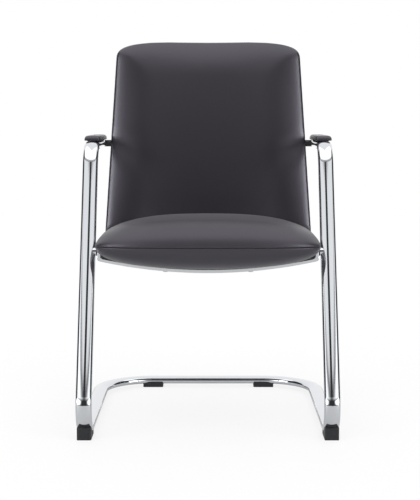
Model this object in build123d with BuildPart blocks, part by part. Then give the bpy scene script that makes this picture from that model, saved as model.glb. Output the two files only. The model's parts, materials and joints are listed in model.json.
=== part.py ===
# Guest chair: cantilever frame of chromed flat-oval tube, leather seat, leather back and arm pads.
# Millimetres, X across, front faces -Y, +Z up, origin on the floor under the middle of the chair.
import os
from math import asin, cos, radians, sin, sqrt, tan

from build123d import *

os.makedirs("parts", exist_ok=True)

# Clearances
fit_gap = 0.2
soft_gap = 0.4
pocket_gap = 1.0

# Frame tube
tube_width = 35.0
tube_height = 19.0
tube_edge = 8.0
tube_wall = 2.0
leg_span = 535.0
frame_depth = 602.0
arm_top = 638.0
floor_gap = 6.5
leg_lean = 22.9
arm_bend = 65.0
foot_bend = 55.0
rear_corner = 130.0
arm_overrun = 25.0
sleeve_length = 120.0
plug_flange = 3.0
plug_depth = 14.0

# Glides
front_glide_width = 31.0
front_glide_length = 66.0
front_glide_height = 27.0
front_glide_setback = 10.0
glide_bevel = 3.0
rear_glide_length = 51.0
rear_glide_wall = 1.2
rear_glide_height = 13.5
rear_glide_spacing = 284.0
glide_corner = 3.0
glide_head_radius = 4.0
glide_head_height = 2.0
glide_shank_radius = 2.0
glide_head_sink = 0.6

# Seat cross bar and its joints
bar_depth = 30.0
bar_thickness = 10.0
bar_bottom = 349.0
bar_bow_rise = 27.0
tab_thickness = 7.0
tab_rise = 9.0
tab_bend = 4.0
tab_flare = 14.0
boss_radius = 9.0
boss_stand = 1.5
boss_depth = 8.0
washer_radius = 10.0
washer_thickness = 3.0
bolt_radius = 4.0
bolt_head_radius = 7.0
bolt_head_height = 4.4
bar_bolt_height = 396.0
bar_bolt_reach = 24.0

# Seat
seat_seam = 414.0
seat_side_gap = 3.0
seat_lead = 213.3
seat_front_bow = 12.0
seat_front_corner = 48.0
seat_tuck = 9.0
seat_rear_bow = 33.0
seat_rear_corner = 30.0
seat_corner_power = 6
seat_crown = 60.0
seat_belly = 55.0
seat_edge = 4.0
seat_nose = 78.0
seat_nose_turn = (0.3, 0.72)
seat_heel = 30.0
seat_heel_turn = (0.29, 0.71)
seat_peak = 0.4
seat_crown_ends = (0.95, 0.56)
seat_belly_ends = (0.97, 0.85)
seat_crown_shape = (2.8, 0.62)
seat_belly_shape = (2.0, 0.34)
seat_station_turn = 15
board_thickness = 12.0
seat_board_inset = 32.0
board_corner = 36.0
pan_thickness = 3.0
pan_side_inset = 22.0
pan_front_inset = 0.5
pan_corner = 8.0
pan_length = 235.0
seat_screw_spacing = 190.0
seat_screw_radius = 3.0
seat_screw_head_radius = 5.5
seat_screw_head_height = 4.0
spot_depth = 1.5
tee_flange_radius = 9.5
tee_flange_thickness = 1.5
tee_barrel_radius = 4.4
tee_barrel_length = 9.0

# Back
back_setback = 191.7
back_foot_z = 412.0
back_recline = 10.5
back_height = 478.5
back_overhang = 1.0
back_taper = 26.5
back_radius = 960.0
back_dish = 33.0
back_front_pad = 26.0
back_rear_pad = 30.0
back_front_edge = 38.0
back_rear_edge = 22.0
back_corner_width = 178.0
back_corner_height = 48.0
back_corner_power = 2.9
back_corner_steps = (0.0, 0.4, 0.65, 0.82, 0.92, 0.97, 0.99, 1.0)
back_edge_turn = (0.28, 0.62)
back_top_fill = 0.14
back_foot_round = 20.0
back_foot_draw = 3.0
back_foot_fill = 0.5
back_knee_fill = 0.82
back_board_inset = 24.0
back_board_foot = 26.0
back_board_head = 30.0

# Seat and back brackets
bracket_width = 30.0
bracket_thickness = 4.0
bracket_spacing = 220.0
bracket_seat_reach = 120.0
bracket_back_reach = 150.0
bracket_bend = 15.0
bracket_screw_radius = 2.5
bracket_screw_length = 13.0
bracket_head_radius = 5.0
bracket_head_height = 3.0
bracket_screw_inset = 18.0
bracket_screw_pitch = 40.0

# Back anchors, spacers and arm bolts
anchor_height = 60.0
anchor_thickness = 3.0
anchor_reach = 48.0
anchor_lip = 13.0
anchor_bolt_depth = 9.0
anchor_boss_radius = 8.0
anchor_boss_length = 12.0
anchor_screw_pitch = 40.0
anchor_screw_radius = 2.0
anchor_screw_length = 11.0
anchor_head_radius = 3.8
anchor_head_height = 2.2
spacer_radius = 8.0
saddle_radius = 9.0
saddle_stand = 4.0
arm_bolt_end = 4.0

# Arm pads
pad_length = 205.0
pad_front_lap = 8.0
pad_half_width = 18.5
pad_height = 12.0
pad_lift = 0.5
pad_end_round = 12.0
pad_end_steps = (0.0, 0.1, 0.3, 0.6, 1.0)
pad_end_width = 0.78
pad_end_height = 0.5
pad_side = (0.99, 0.5)
pad_shoulder = (0.78, 0.9)
pad_base_width = 27.0
pad_base_length = 170.0
pad_base_top = 3.5
pad_base_skirt = 1.5
pad_screw_radius = 2.5
pad_screw_head_radius = 4.5
pad_screw_head_height = 2.5
pad_screw_pitch = 110.0

# Places that follow from the sizes above
leg_x = leg_span / 2
sled_z = floor_gap + tube_height / 2
arm_z = arm_top - tube_height / 2
lean = tan(radians(leg_lean))
foot_run = foot_bend * tan(radians(90 + leg_lean) / 2)
foot_straight = -frame_depth / 2 + foot_bend + tube_height / 2
foot_corner = foot_straight - foot_run
arm_corner = foot_corner + (arm_z - sled_z) * lean
arm_straight = arm_corner + arm_bend * tan(radians(90 - leg_lean) / 2)
rear_y = frame_depth / 2 - tube_width / 2 - rear_glide_wall
bar_y = foot_corner + (bar_bolt_height - sled_z) * lean
leg_inner = leg_x - tube_width / 2
seat_half = leg_inner - seat_side_gap
seat_front = arm_corner - seat_lead
back_foot_y = arm_corner + back_setback
seat_rear = back_foot_y + seat_tuck
pan_half_width = seat_half - pan_side_inset
back_half_foot = leg_inner + back_overhang
boss_face = leg_inner - boss_stand
tab_outer = boss_face - washer_thickness
tab_inner = tab_outer - tab_thickness
tab_top = bar_bolt_height + tab_rise
bar_bow_radius = (tab_outer**2 + bar_bow_rise**2) / (2 * bar_bow_rise)
bow_centre = bar_bottom + bar_bow_radius
board_top = seat_seam - soft_gap / 2
board_bottom = board_top - board_thickness
tilt_sin = sin(radians(back_recline))
tilt_cos = cos(radians(back_recline))
back_up = Vector(0, tilt_sin, tilt_cos)
back_out = Vector(0, tilt_cos, -tilt_sin)
back_foot = Vector(0, back_foot_y, back_foot_z)
bolt_rise = (arm_z - back_foot_z + anchor_bolt_depth * tilt_sin) / tilt_cos
bolt_y = back_foot_y + bolt_rise * tilt_sin + anchor_bolt_depth * tilt_cos
arm_rear = bolt_y + arm_overrun


def edge_fall(x, bow, corner):
    # How far the seat's edge draws back: a shallow bow that runs into a rounded corner
    share = min(1.0, abs(x) / seat_half)
    return bow * share**2 + corner * (1 - sqrt(1 - share**seat_corner_power))


def seat_front_line(x):
    return seat_front + edge_fall(x, seat_front_bow, seat_front_corner)


def seat_rear_line(x):
    return seat_rear - edge_fall(x, seat_rear_bow, seat_rear_corner)


def back_half(rise):
    return back_half_foot - back_taper * rise / back_height


def dish(x, behind=0.0):
    radius = back_radius + behind
    return back_dish - back_radius + sqrt(radius * radius - x * x)


def back_plane(rise):
    return Plane(origin=back_foot + back_up * rise, x_dir=(1, 0, 0), z_dir=back_up)


def oval(plane, grow=0.0):
    # Four-arc oval: two shallow faces and two tight edges, tangent to each other
    a = tube_width / 2 + grow
    b = tube_height / 2 + grow
    r = tube_edge + grow
    face = ((a - r) ** 2 + b * b - r * r) / (2 * (b - r))
    tx = a - r + r * (a - r) / (face - r)
    ty = r * (face - b) / (face - r)
    with BuildSketch(plane) as section:
        with BuildLine():
            ThreePointArc((-tx, ty), (0, b), (tx, ty))
            ThreePointArc((tx, ty), (a, 0), (tx, -ty))
            ThreePointArc((tx, -ty), (0, -b), (-tx, -ty))
            ThreePointArc((-tx, -ty), (-a, 0), (-tx, ty))
        make_face()
    return section.sketch


def rods(plane, spots, radius, length):
    with BuildPart() as made:
        with BuildSketch(plane):
            with Locations(*spots):
                Circle(radius)
        extrude(amount=length)
    return made.part


def screws(plane, spots, head_radius, head_height, radius, length):
    # The plane is the seat under the head, its normal points along the shank
    with BuildPart() as made:
        with BuildSketch(plane):
            with Locations(*spots):
                Circle(head_radius)
        extrude(amount=-head_height)
        with BuildSketch(plane):
            with Locations(*spots):
                Circle(radius)
        extrude(amount=length)
    return made.part


# Left frame half: arm, leg, floor runner and half of the rear bar
frame_points = [
    (-leg_x, arm_rear, arm_z),
    (-leg_x, arm_corner, arm_z),
    (-leg_x, foot_corner, sled_z),
    (-leg_x, rear_y, sled_z),
    (0, rear_y, sled_z),
]
with BuildLine() as route:
    FilletPolyline(*frame_points, radius=[arm_bend, foot_bend, rear_corner])
arm_end_plane = Plane(origin=frame_points[0], x_dir=(1, 0, 0), z_dir=(0, -1, 0))

# Room that the tube takes, grown by the fit, for whatever seats on it
with BuildPart() as tube_room:
    sweep(sections=oval(arm_end_plane, fit_gap), path=route.line)

# Axes of the cross holes
arm_bolt_plane = Plane(origin=(-leg_x - tube_width, bolt_y, arm_z), x_dir=(0, 1, 0), z_dir=(1, 0, 0))
bar_bolt_plane = Plane(origin=(-tab_inner, bar_y, bar_bolt_height), x_dir=(0, 1, 0), z_dir=(-1, 0, 0))
bar_bolt_hole = rods(bar_bolt_plane, [(0, 0)], bolt_radius + fit_gap, bar_bolt_reach)
pad_front = arm_straight - pad_front_lap
pad_middle = pad_front + pad_length / 2
pad_screw_spots = [(-leg_x, pad_middle - pad_screw_pitch / 2), (-leg_x, pad_middle + pad_screw_pitch / 2)]
front_glide_front = -frame_depth / 2 + front_glide_setback
glide_screw_spots = [
    (-leg_x, front_glide_front + front_glide_length - 3 * glide_head_radius),
    (-rear_glide_spacing / 2, rear_y),
]
glide_seat_z = glide_head_sink + glide_head_height

with BuildPart() as frame_tube_left:
    sweep(sections=oval(arm_end_plane), path=route.line)
    sweep(sections=oval(arm_end_plane, -tube_wall), path=route.line, mode=Mode.SUBTRACT)
    add(rods(arm_bolt_plane, [(0, 0)], bolt_radius + fit_gap, 2 * tube_width), mode=Mode.SUBTRACT)
    add(bar_bolt_hole, mode=Mode.SUBTRACT)
    pad_hole_plane = Plane.XY.offset(arm_z - tube_height)
    add(
        rods(pad_hole_plane, pad_screw_spots, pad_screw_radius + fit_gap, 2 * tube_height),
        mode=Mode.SUBTRACT,
    )
    add(rods(Plane.XY, glide_screw_spots, glide_shank_radius + fit_gap, sled_z), mode=Mode.SUBTRACT)

# Sleeve inside the rear bar, across the joint of the two halves
with BuildPart() as frame_sleeve:
    sleeve_plane = Plane(origin=(-sleeve_length / 2, rear_y, sled_z), x_dir=(0, 1, 0), z_dir=(1, 0, 0))
    extrude(oval(sleeve_plane, -tube_wall - fit_gap), amount=sleeve_length)
    extrude(oval(sleeve_plane, -2 * tube_wall - fit_gap), amount=sleeve_length, mode=Mode.SUBTRACT)

# Plug in the open end of the arm
with BuildPart() as arm_plug_left:
    extrude(oval(arm_end_plane), amount=-plug_flange)
    chamfer(arm_plug_left.faces().sort_by(Axis.Y)[-1].edges(), length=plug_flange / 3)
    extrude(oval(arm_end_plane, -tube_wall - fit_gap), amount=plug_depth)

# Front glide: a shoe under the foot bend
with BuildPart() as front_glide_left:
    with BuildSketch(Plane.YZ.offset(-leg_x - front_glide_width / 2)):
        with BuildLine():
            Polyline(
                (front_glide_front, 0),
                (front_glide_front + front_glide_length, 0),
                (front_glide_front + front_glide_length, sled_z - tube_wall),
                (front_glide_front + 3 * glide_bevel, front_glide_height),
                (front_glide_front, front_glide_height - glide_bevel),
                close=True,
            )
        make_face()
    extrude(amount=front_glide_width)
    fillet(front_glide_left.edges().filter_by(Axis.Z), radius=glide_corner)
    add(tube_room.part, mode=Mode.SUBTRACT)
    add(rods(Plane.XY, glide_screw_spots[:1], glide_head_radius + fit_gap, glide_seat_z), mode=Mode.SUBTRACT)
    add(rods(Plane.XY, glide_screw_spots[:1], glide_shank_radius + fit_gap, sled_z), mode=Mode.SUBTRACT)

# Rear glide: a half shell under the rear bar
with BuildPart() as rear_glide_left:
    with BuildSketch(Plane.XY):
        with Locations(glide_screw_spots[1]):
            RectangleRounded(rear_glide_length, tube_width + 2 * rear_glide_wall, glide_corner)
    extrude(amount=rear_glide_height)
    add(tube_room.part, mode=Mode.SUBTRACT)
    add(rods(Plane.XY, glide_screw_spots[1:], glide_head_radius + fit_gap, glide_seat_z), mode=Mode.SUBTRACT)
    add(rods(Plane.XY, glide_screw_spots[1:], glide_shank_radius + fit_gap, sled_z), mode=Mode.SUBTRACT)

with BuildPart() as glide_screws:
    glide_screw_length = floor_gap + tube_wall + 2 * glide_shank_radius - glide_seat_z
    add(
        screws(
            Plane.XY.offset(glide_seat_z),
            glide_screw_spots,
            glide_head_radius,
            glide_head_height,
            glide_shank_radius,
            glide_screw_length,
        )
    )
    mirror(about=Plane.YZ)

# Bowed cross bar under the seat, its ends turned up into bolted tabs
def bow_z(x, above):
    radius = bar_bow_radius - above
    return bow_centre - sqrt(radius * radius - x * x)


seat_screw_spots = [(-seat_screw_spacing / 2, bar_y), (seat_screw_spacing / 2, bar_y)]
seat_screw_seat = bow_z(seat_screw_spacing / 2, 0) + spot_depth
bar_back_plane = Plane(origin=(0, bar_y + bar_depth / 2, 0), x_dir=(1, 0, 0), z_dir=(0, -1, 0))
with BuildPart() as seat_bar:
    with BuildSketch(bar_back_plane) as bar_profile:
        with BuildLine():
            low = bow_z(tab_outer, 0)
            high = bow_z(tab_inner, bar_thickness)
            ThreePointArc((-tab_outer, low), (0, bar_bottom), (tab_outer, low))
            Polyline((tab_outer, low), (tab_outer, tab_top), (tab_inner, tab_top), (tab_inner, high))
            ThreePointArc((tab_inner, high), (0, bar_bottom + bar_thickness), (-tab_inner, high))
            Polyline((-tab_inner, high), (-tab_inner, tab_top), (-tab_outer, tab_top), (-tab_outer, low))
        make_face()
        fillet([v for v in bar_profile.vertices() if abs(v.Y - high) < fit_gap], radius=tab_flare)
        fillet([v for v in bar_profile.vertices() if abs(v.Y - low) < fit_gap], radius=tab_bend)
    extrude(amount=bar_depth)
    tab_tips = seat_bar.edges().filter_by(Axis.X).group_by(Axis.Z)[-1]
    fillet(tab_tips, radius=bar_depth / 3)
    bolt_head_room = rods(bar_bolt_plane, [(0, 0)], bolt_head_radius + pocket_gap, -tab_flare)
    for room in (bar_bolt_hole, bolt_head_room):
        add(room, mode=Mode.SUBTRACT)
        add(mirror(room, about=Plane.YZ, mode=Mode.PRIVATE), mode=Mode.SUBTRACT)
    with BuildSketch(Plane.XY.offset(seat_screw_seat)):
        with Locations(*seat_screw_spots):
            Circle(seat_screw_head_radius + pocket_gap)
    extrude(amount=-bar_thickness, mode=Mode.SUBTRACT)
    with BuildSketch(Plane.XY.offset(seat_screw_seat)):
        with Locations(*seat_screw_spots):
            Circle(seat_screw_radius + fit_gap)
    extrude(amount=2 * bar_thickness, mode=Mode.SUBTRACT)

# Boss welded to the inner side of the leg
boss_plane = Plane(origin=(-boss_face, bar_y, bar_bolt_height), x_dir=(0, 1, 0), z_dir=(-1, 0, 0))
with BuildPart() as leg_boss_left:
    add(rods(boss_plane, [(0, 0)], boss_radius, boss_depth))
    add(rods(boss_plane, [(0, 0)], bolt_radius + fit_gap, boss_depth), mode=Mode.SUBTRACT)
    add(tube_room.part, mode=Mode.SUBTRACT)

washer_plane = boss_plane.offset(-washer_thickness)
with BuildPart() as bar_washers:
    add(rods(washer_plane, [(0, 0)], washer_radius, washer_thickness))
    add(rods(washer_plane, [(0, 0)], bolt_radius + fit_gap, washer_thickness), mode=Mode.SUBTRACT)
    mirror(about=Plane.YZ)

with BuildPart() as bar_bolts:
    bar_bolt_length = bar_bolt_reach - pocket_gap
    add(screws(bar_bolt_plane, [(0, 0)], bolt_head_radius, bolt_head_height, bolt_radius, bar_bolt_length))
    mirror(about=Plane.YZ)

# Seat board with tee nuts for the screws that come up through the bar
def seat_board_block(grow, top):
    half = seat_half - seat_board_inset + grow
    front = seat_front + seat_board_inset - grow
    corner = seat_front_line(half) + seat_board_inset - grow
    rear = seat_rear_line(half) - seat_board_inset + grow
    with BuildPart() as block:
        with BuildSketch(Plane.XY.offset(board_bottom - grow)) as outline:
            with BuildLine():
                ThreePointArc((-half, corner), (0, front), (half, corner))
                Polyline((half, corner), (half, rear), (-half, rear), (-half, corner))
            make_face()
            fillet(outline.vertices(), radius=board_corner)
        extrude(amount=top - board_bottom + grow)
    return block.part


seat_bracket_z = board_bottom - bracket_thickness
bracket_rear = seat_rear_line(seat_half - seat_board_inset) - seat_board_inset
bracket_start = bracket_rear - bracket_seat_reach
seat_bracket_spots = [
    (side * bracket_spacing / 2, bracket_start + bracket_screw_inset + step * bracket_screw_pitch)
    for side in (-1, 1)
    for step in (0, 1)
]
with BuildPart() as seat_board:
    add(seat_board_block(0, board_top))
    tee_plane = Plane.XY.offset(board_top)
    add(
        rods(tee_plane, seat_screw_spots, tee_flange_radius + fit_gap, -tee_flange_thickness),
        mode=Mode.SUBTRACT,
    )
    add(rods(tee_plane, seat_screw_spots, tee_barrel_radius + fit_gap, -board_thickness), mode=Mode.SUBTRACT)
    bracket_hole_plane = Plane.XY.offset(board_bottom)
    bracket_hole_depth = bracket_screw_length - bracket_thickness + fit_gap
    add(
        rods(bracket_hole_plane, seat_bracket_spots, bracket_screw_radius + fit_gap, bracket_hole_depth),
        mode=Mode.SUBTRACT,
    )

tee_seat = Plane.XY.offset(board_top - tee_flange_thickness)
with BuildPart() as seat_tee_nuts:
    add(rods(tee_seat, seat_screw_spots, tee_flange_radius, tee_flange_thickness))
    add(rods(tee_seat, seat_screw_spots, tee_barrel_radius, -tee_barrel_length))
    tee_end = tee_seat.offset(-tee_barrel_length)
    add(rods(tee_end, seat_screw_spots, seat_screw_radius + fit_gap, board_thickness), mode=Mode.SUBTRACT)

with BuildPart() as seat_screws:
    add(
        screws(
            Plane.XY.offset(seat_screw_seat),
            seat_screw_spots,
            seat_screw_head_radius,
            seat_screw_head_height,
            seat_screw_radius,
            board_top - seat_screw_seat - fit_gap,
        )
    )

# Bent flat brackets from the seat board's underside up the rear of the back board
bracket_out = dish(bracket_spacing / 2 - bracket_width / 2, board_thickness + soft_gap) + soft_gap
bracket_middle = bracket_out + bracket_thickness / 2
bracket_floor = seat_bracket_z + bracket_thickness / 2
bracket_foot_rise = (bracket_floor - back_foot_z + bracket_middle * tilt_sin) / tilt_cos
bracket_knee = back_foot + back_up * bracket_foot_rise + back_out * bracket_middle
bracket_tip = bracket_knee + back_up * bracket_back_reach


def bracket_block(grow):
    x = -bracket_spacing / 2
    with BuildLine() as bend:
        FilletPolyline(
            (x, bracket_start - grow, bracket_floor),
            (x, bracket_knee.Y, bracket_floor),
            (x, bracket_tip.Y + grow * tilt_sin, bracket_tip.Z + grow * tilt_cos),
            radius=bracket_bend,
        )
    start = Plane(origin=(x, bracket_start - grow, bracket_floor), x_dir=(1, 0, 0), z_dir=(0, 1, 0))
    with BuildSketch(start) as strip:
        Rectangle(bracket_width + 2 * grow, bracket_thickness + 2 * grow)
    with BuildPart() as block:
        sweep(sections=strip.sketch, path=bend.line)
    return block.part


seat_bracket_plane = Plane.XY.offset(seat_bracket_z)
back_bracket_plane = Plane(
    origin=back_foot + back_out * (bracket_out + bracket_thickness), x_dir=(1, 0, 0), z_dir=back_out * -1
)
back_bracket_spots = [
    (
        side * bracket_spacing / 2,
        bracket_foot_rise + bracket_back_reach - bracket_screw_inset - step * bracket_screw_pitch,
    )
    for side in (-1, 1)
    for step in (0, 1)
]
bracket_holes = rods(
    seat_bracket_plane, seat_bracket_spots, bracket_screw_radius + fit_gap, bracket_screw_length
)
bracket_back_holes = rods(
    back_bracket_plane, back_bracket_spots, bracket_screw_radius + fit_gap, bracket_screw_length + fit_gap
)
with BuildPart() as seat_bracket_left:
    add(bracket_block(0))
    add(bracket_holes, mode=Mode.SUBTRACT)
    add(bracket_back_holes, mode=Mode.SUBTRACT)

with BuildPart() as bracket_screws:
    add(
        screws(
            seat_bracket_plane,
            seat_bracket_spots,
            bracket_head_radius,
            bracket_head_height,
            bracket_screw_radius,
            bracket_screw_length,
        )
    )
    add(
        screws(
            back_bracket_plane,
            back_bracket_spots,
            bracket_head_radius,
            bracket_head_height,
            bracket_screw_radius,
            bracket_screw_length,
        )
    )

# Bowed slab over the bar: the pan's thickness, or all the room below the pan's top
pan_front = bar_y - bar_depth / 2 + pan_front_inset
pan_low = bar_thickness + fit_gap
pan_high = pan_low + pan_thickness


def bowed_slab(half, bottom, top, front, length):
    low_end = bow_z(half, bottom)
    high_end = bow_z(half, top)
    with BuildPart() as slab:
        with BuildSketch(Plane(origin=(0, front, 0), x_dir=(1, 0, 0), z_dir=(0, -1, 0))):
            with BuildLine():
                ThreePointArc((-half, low_end), (0, bow_z(0, bottom)), (half, low_end))
                Line((half, low_end), (half, high_end))
                ThreePointArc((half, high_end), (0, bow_z(0, top)), (-half, high_end))
                Line((-half, high_end), (-half, low_end))
            make_face()
        extrude(amount=-length)
    return slab.part


# Seat upholstery: crowned cushion above the seam, bulging lower panel below it
seat_stations = [sin(radians(turn)) for turn in range(-90, 91, seat_station_turn)]


def seat_section(share, way, depth, shape, ends):
    power, taper = shape
    fore, aft = ends
    x = share * seat_half
    rise = seat_edge + (depth - seat_edge) * (1 - abs(share) ** power) ** taper
    front = seat_front_line(x)
    rear = seat_rear_line(x)
    nose = (front + seat_nose_turn[0] * seat_nose, way * seat_nose_turn[1] * fore * rise)
    nose_end = (front + seat_nose, way * fore * rise)
    peak = (front + seat_peak * (rear - front), way * rise)
    heel_start = (rear - seat_heel, way * aft * rise)
    heel = (rear - seat_heel_turn[0] * seat_heel, way * seat_heel_turn[1] * aft * rise)
    plane = Plane(origin=(x, 0, seat_seam + way * soft_gap / 2), x_dir=(0, 1, 0), z_dir=(1, 0, 0))
    with BuildSketch(plane) as section:
        with BuildLine():
            ThreePointArc((front, 0), nose, nose_end)
            ThreePointArc(nose_end, peak, heel_start)
            ThreePointArc(heel_start, heel, (rear, 0))
            Line((rear, 0), (front, 0))
        make_face()
    return section.sketch


with BuildPart() as seat_cushion:
    loft(sections=[seat_section(x, 1, seat_crown, seat_crown_shape, seat_crown_ends) for x in seat_stations])

with BuildPart() as seat_underside:
    loft(sections=[seat_section(x, -1, seat_belly, seat_belly_shape, seat_belly_ends) for x in seat_stations])
    add(seat_board_block(soft_gap, seat_seam), mode=Mode.SUBTRACT)
    base_room = bowed_slab(
        tab_inner,
        -seat_belly,
        pan_high + soft_gap,
        bar_y - bar_depth / 2 - pocket_gap,
        pan_length + 2 * pocket_gap + pan_front_inset,
    )
    add(base_room, mode=Mode.SUBTRACT)
    bracket_room = bracket_block(pocket_gap)
    add(bracket_room, mode=Mode.SUBTRACT)
    add(mirror(bracket_room, about=Plane.YZ, mode=Mode.PRIVATE), mode=Mode.SUBTRACT)
    head_room = bracket_head_height + pocket_gap
    add(
        rods(seat_bracket_plane, seat_bracket_spots, bracket_head_radius + pocket_gap, -head_room),
        mode=Mode.SUBTRACT,
    )
    screw_rise = board_top - bar_bottom
    add(
        rods(Plane.XY.offset(bar_bottom), seat_screw_spots, seat_screw_radius + pocket_gap, screw_rise),
        mode=Mode.SUBTRACT,
    )
    tab_room_in = tab_inner - tab_flare - pocket_gap
    tab_room_out = seat_half + pocket_gap
    for side in (-1, 1):
        with BuildSketch(Plane.XY.offset(bar_bolt_height + washer_radius + pocket_gap)):
            with Locations((side * (tab_room_in + tab_room_out) / 2, bar_y)):
                Rectangle(tab_room_out - tab_room_in, bar_depth + 2 * pocket_gap)
        extrude(amount=-2 * seat_belly, mode=Mode.SUBTRACT)

# Black pan between the lower panel and the bar
with BuildPart() as seat_base_pan:
    add(
        bowed_slab(
            pan_half_width + pocket_gap,
            pan_low,
            pan_high,
            pan_front - pocket_gap,
            pan_length + 2 * pocket_gap,
        )
    )
    with BuildSketch(Plane.XY.offset(bar_bottom)):
        with Locations((0, pan_front + pan_length / 2)):
            RectangleRounded(2 * pan_half_width, pan_length, pan_corner)
    extrude(amount=seat_belly, mode=Mode.INTERSECT)
    add(
        rods(Plane.XY.offset(bar_bottom), seat_screw_spots, seat_screw_radius + fit_gap, seat_belly),
        mode=Mode.SUBTRACT,
    )


# Back board: bent plywood, tapering upward
def back_board_block(grow):
    front = soft_gap - grow
    rear = soft_gap + board_thickness + grow
    foot = back_board_foot - grow
    head = back_height - back_board_head + grow
    foot_half = back_half(foot) - back_board_inset + grow
    head_half = back_half(head) - back_board_inset + grow
    with BuildPart() as block:
        with BuildSketch(back_plane(foot)):
            with BuildLine():
                half = foot_half
                ThreePointArc((-half, dish(half, front)), (0, dish(0, front)), (half, dish(half, front)))
                Line((half, dish(half, front)), (half, dish(half, rear)))
                ThreePointArc((half, dish(half, rear)), (0, dish(0, rear)), (-half, dish(half, rear)))
                Line((-half, dish(half, rear)), (-half, dish(half, front)))
            make_face()
        extrude(amount=head - foot)
        with BuildSketch(Plane(origin=back_foot, x_dir=(1, 0, 0), z_dir=back_out * -1)) as outline:
            with BuildLine():
                Polyline(
                    (-foot_half, foot), (foot_half, foot), (head_half, head), (-head_half, head), close=True
                )
            make_face()
            fillet(outline.vertices(), radius=board_corner + grow)
        extrude(amount=4 * back_dish, both=True, mode=Mode.INTERSECT)
    return block.part


# Anchor: bent plate behind the board's edge with a weld nut for the arm bolt
anchor_out = back_half(bolt_rise - anchor_height / 2) - back_board_inset + anchor_thickness + pocket_gap
anchor_in = anchor_out - anchor_thickness


def anchor_block(grow):
    front = anchor_bolt_depth - anchor_lip - grow
    near = anchor_out + grow - anchor_reach - 2 * grow
    wall = anchor_in - grow
    low = soft_gap + board_thickness + fit_gap - grow
    high = low + anchor_thickness + 2 * grow
    edge = anchor_out + grow
    with BuildSketch(back_plane(bolt_rise - anchor_height / 2 - grow)) as profile:
        with BuildLine():
            middle = (near + wall) / 2
            ThreePointArc((-near, dish(near, low)), (-middle, dish(middle, low)), (-wall, dish(wall, low)))
            Polyline((-wall, dish(wall, low)), (-wall, front), (-edge, front), (-edge, dish(edge, high)))
            ThreePointArc((-edge, dish(edge, high)), (-middle, dish(middle, high)), (-near, dish(near, high)))
            Line((-near, dish(near, high)), (-near, dish(near, low)))
        make_face()
    with BuildPart() as block:
        extrude(profile.sketch, amount=anchor_height + 2 * grow)
    return block.part


anchor_bolt_plane = Plane(origin=(-anchor_in, bolt_y, arm_z), x_dir=(0, 1, 0), z_dir=(1, 0, 0))
anchor_screw_x = anchor_out - anchor_reach + 3 * anchor_head_radius
anchor_turn = asin(anchor_screw_x / back_radius)
anchor_seat = soft_gap + board_thickness + fit_gap + anchor_thickness
inward = Vector(sin(anchor_turn), 0, 0) - back_out * cos(anchor_turn)
anchor_screw_origin = (
    back_foot
    + back_up * bolt_rise
    + Vector(-(back_radius + anchor_seat) * sin(anchor_turn), 0, 0)
    + back_out * (back_dish - back_radius + (back_radius + anchor_seat) * cos(anchor_turn))
)
anchor_screw_plane = Plane(origin=anchor_screw_origin, x_dir=back_up, z_dir=inward)
anchor_screw_spots = [(-anchor_screw_pitch / 2, 0), (anchor_screw_pitch / 2, 0)]
anchor_holes = rods(
    anchor_screw_plane, anchor_screw_spots, anchor_screw_radius + fit_gap, anchor_screw_length
)

with BuildPart() as back_anchor_left:
    add(anchor_block(0))
    add(rods(anchor_bolt_plane, [(0, 0)], anchor_boss_radius, anchor_boss_length))
    add(
        rods(arm_bolt_plane, [(0, 0)], bolt_radius + fit_gap, 4 * tube_width),
        mode=Mode.SUBTRACT,
    )
    add(anchor_holes, mode=Mode.SUBTRACT)

with BuildPart() as anchor_screws:
    add(
        screws(
            anchor_screw_plane,
            anchor_screw_spots,
            anchor_head_radius,
            anchor_head_height,
            anchor_screw_radius,
            anchor_screw_length - fit_gap,
        )
    )
    mirror(about=Plane.YZ)

boss_room_length = anchor_boss_length + arm_bolt_end + pocket_gap
boss_room = rods(anchor_bolt_plane, [(0, 0)], anchor_boss_radius + pocket_gap, boss_room_length)
with BuildPart() as back_board:
    add(back_board_block(0))
    add(boss_room, mode=Mode.SUBTRACT)
    add(mirror(boss_room, about=Plane.YZ, mode=Mode.PRIVATE), mode=Mode.SUBTRACT)
    add(anchor_holes, mode=Mode.SUBTRACT)
    add(mirror(anchor_holes, about=Plane.YZ, mode=Mode.PRIVATE), mode=Mode.SUBTRACT)
    add(bracket_back_holes, mode=Mode.SUBTRACT)

# Arm joint: spacer on the inner side, saddle washer and bolt head on the outer side
spacer_plane = Plane(origin=(-anchor_out, bolt_y, arm_z), x_dir=(0, 1, 0), z_dir=(-1, 0, 0))
spacer_length = leg_inner + tube_edge - anchor_out
with BuildPart() as back_spacer_left:
    add(rods(spacer_plane, [(0, 0)], spacer_radius, spacer_length))
    add(rods(spacer_plane, [(0, 0)], bolt_radius + fit_gap, spacer_length), mode=Mode.SUBTRACT)
    add(tube_room.part, mode=Mode.SUBTRACT)

saddle_plane = Plane(
    origin=(-leg_x - tube_width / 2 - saddle_stand, bolt_y, arm_z), x_dir=(0, 1, 0), z_dir=(1, 0, 0)
)
with BuildPart() as saddle_washers:
    add(rods(saddle_plane, [(0, 0)], saddle_radius, saddle_stand + tube_edge))
    add(rods(saddle_plane, [(0, 0)], bolt_radius + fit_gap, saddle_stand + tube_edge), mode=Mode.SUBTRACT)
    add(tube_room.part, mode=Mode.SUBTRACT)
    mirror(about=Plane.YZ)

with BuildPart() as arm_bolts:
    arm_bolt_length = leg_x + tube_width / 2 + saddle_stand - anchor_in + anchor_boss_length + arm_bolt_end
    add(screws(saddle_plane, [(0, 0)], bolt_head_radius, bolt_head_height, bolt_radius, arm_bolt_length))
    bolt_rim = arm_bolts.faces().sort_by(Axis.X)[0].edges()
    fillet(bolt_rim, radius=bolt_head_height / 2)
    mirror(about=Plane.YZ)


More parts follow.
